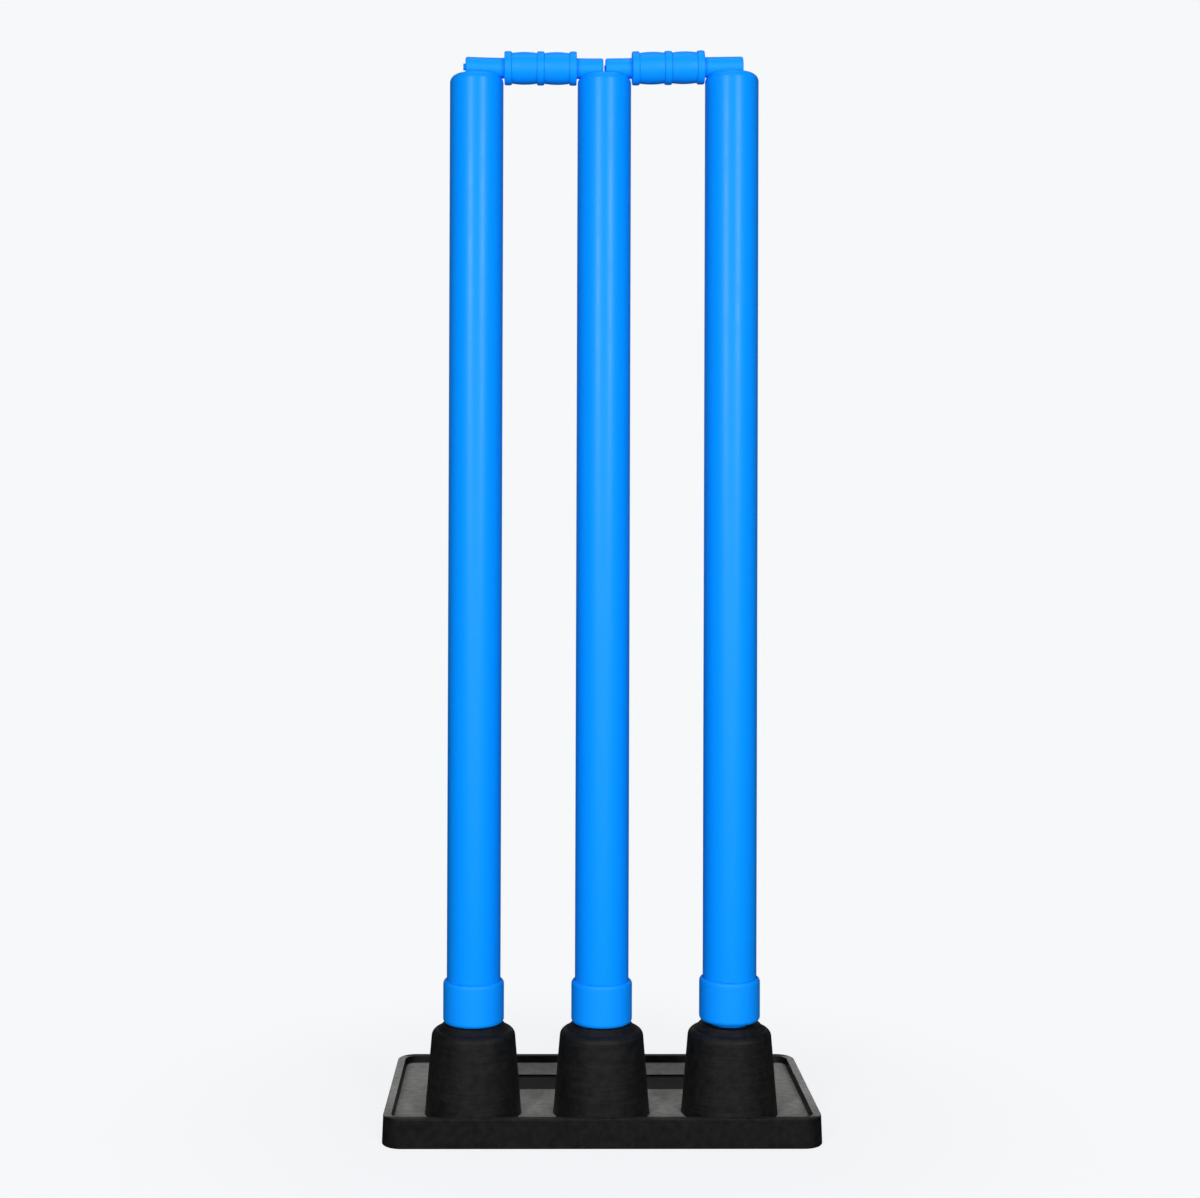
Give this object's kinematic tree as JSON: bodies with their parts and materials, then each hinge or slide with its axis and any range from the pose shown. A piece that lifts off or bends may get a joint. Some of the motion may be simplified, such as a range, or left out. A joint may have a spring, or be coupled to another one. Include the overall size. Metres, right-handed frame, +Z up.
{
  "type": "cricket stumps",
  "caption": "Free-standing wicket: hollow plastic stumps plugged into a rubber base with moulded cone sockets, and turned bails lying across the stump tops.",
  "frame": {"origin": "on the floor, under the middle of the rubber base", "axes": "+Z up the stumps, X along the row of stumps, -Y towards the bowler, the side that the picture shows"},
  "size_m": [0.284, 0.15, 0.7115],
  "materials": {
    "base_rubber": "matt black moulded rubber",
    "ferrule_plastic": "satin bright blue",
    "stump_plastic": "soft gloss bright blue",
    "bail_plastic": "satin bright blue"
  },
  "bodies": {
    "base": {"rubber_base": "base_rubber"},
    "middle_stump": {"stump_middle_tube": "stump_plastic", "stump_middle_ferrule": "ferrule_plastic"},
    "left_stump": {"stump_left_tube": "stump_plastic", "stump_left_ferrule": "ferrule_plastic"},
    "right_stump": {"stump_right_tube": "stump_plastic", "stump_right_ferrule": "ferrule_plastic"},
    "left_bail": {"bail_left": "bail_plastic"},
    "right_bail": {"bail_right": "bail_plastic"}
  },
  "joints": [
    {"name": "middle_stump_lift", "type": "slide", "parent": "base", "child": "middle_stump", "axis": [0, 0, 1], "range_m": [0, 0.08]},
    {"name": "left_stump_lift", "type": "slide", "parent": "middle_stump", "child": "left_stump", "axis": [0, 0, 1], "range_m": [0, 0.08]},
    {"name": "right_stump_lift", "type": "slide", "parent": "middle_stump", "child": "right_stump", "axis": [0, 0, 1], "range_m": [0, 0.08]},
    {"name": "left_bail_lift", "type": "slide", "parent": "left_stump", "child": "left_bail", "axis": [0, 0, 1], "range_m": [0, 0.06]},
    {"name": "right_bail_lift", "type": "slide", "parent": "right_stump", "child": "right_bail", "axis": [0, 0, 1], "range_m": [0, 0.06]}
  ]
}
